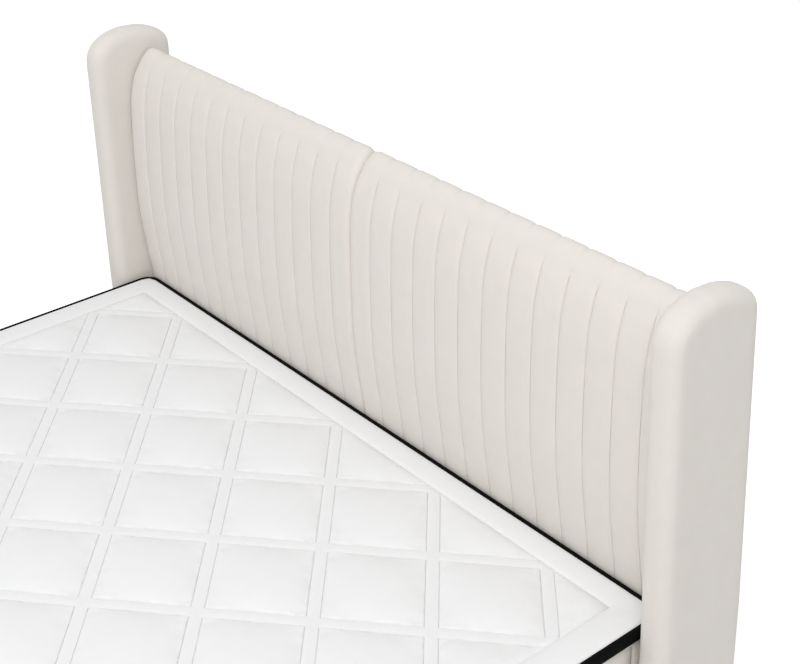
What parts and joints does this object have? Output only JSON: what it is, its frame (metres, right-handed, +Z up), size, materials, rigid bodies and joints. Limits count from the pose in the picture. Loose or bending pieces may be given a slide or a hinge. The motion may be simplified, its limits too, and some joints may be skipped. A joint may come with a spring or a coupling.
{
  "type": "box spring bed",
  "caption": "Double box spring bed with a channelled winged headboard, sprung boxes, a mattress and a diamond-quilted topper.",
  "frame": {"origin": "middle of the footprint, on the floor", "axes": "+Z up, +Y towards the headboard, +X to the right as seen from the foot end"},
  "size_m": [1.952, 2.135, 1.265],
  "materials": {
    "upholstery": "fine woven cream fabric",
    "knit": "soft white knit",
    "black_band": "black woven band",
    "cloth": "dark non-woven cloth",
    "foam": "open-cell foam",
    "pocket_springs": "springs sewn in non-woven pockets",
    "timber": "planed softwood and plywood",
    "foot": "satin black",
    "steel": "zinc-plated"
  },
  "bodies": {
    "root": {"left_wing_cover": "upholstery", "right_wing_cover": "upholstery", "left_channel_panel": "upholstery", "right_channel_panel": "upholstery", "headboard_lower_panel": "upholstery", "headboard_back_cover": "upholstery", "left_box_skirt": "upholstery", "right_box_skirt": "upholstery", "left_box_top_cloth": "cloth", "right_box_top_cloth": "cloth", "left_box_dust_cloth": "cloth", "right_box_dust_cloth": "cloth", "left_box_felt": "cloth", "right_box_felt": "cloth", "left_box_foam": "foam", "right_box_foam": "foam", "left_box_springs": "pocket_springs", "right_box_springs": "pocket_springs", "headboard_left_post": "timber", "headboard_centre_post": "timber", "headboard_right_post": "timber", "headboard_top_rail": "timber", "headboard_shelves": "timber", "headboard_mounting_rails": "timber", "headboard_plinth_boards": "timber", "left_wing_core": "timber", "right_wing_core": "timber", "left_panel_board": "timber", "right_panel_board": "timber", "left_box_side_boards": "timber", "right_box_side_boards": "timber", "left_box_end_boards": "timber", "right_box_end_boards": "timber", "left_box_foot_blocks": "timber", "right_box_foot_blocks": "timber", "left_box_battens": "timber", "right_box_battens": "timber", "left_box_slats": "timber", "right_box_slats": "timber", "feet": "foot", "headboard_glides": "foot", "panel_screws": "steel", "wing_bolts": "steel", "wing_nuts": "steel", "headboard_bolts": "steel", "headboard_nuts": "steel", "foot_studs": "steel", "foot_nuts": "steel", "box_connectors": "steel"},
    "mattress": {"mattress_border": "upholstery", "mattress_bottom_panel": "knit", "mattress_base_foam": "foam", "mattress_side_foam": "foam", "mattress_springs": "pocket_springs", "mattress_top_foam": "foam", "mattress_top_panel": "knit"},
    "topper": {"topper_side_band": "black_band", "topper_bottom_panel": "knit", "topper_core": "foam", "topper_quilted_panel": "knit"}
  },
  "joints": [
    {"name": "mattress_lift", "type": "slide", "parent": "root", "child": "mattress", "axis": [0, -0.3304, 0.9439], "range_m": [0, 0.4]},
    {"name": "topper_lift", "type": "slide", "parent": "mattress", "child": "topper", "axis": [0, -0.3304, 0.9439], "range_m": [0, 0.3]}
  ]
}
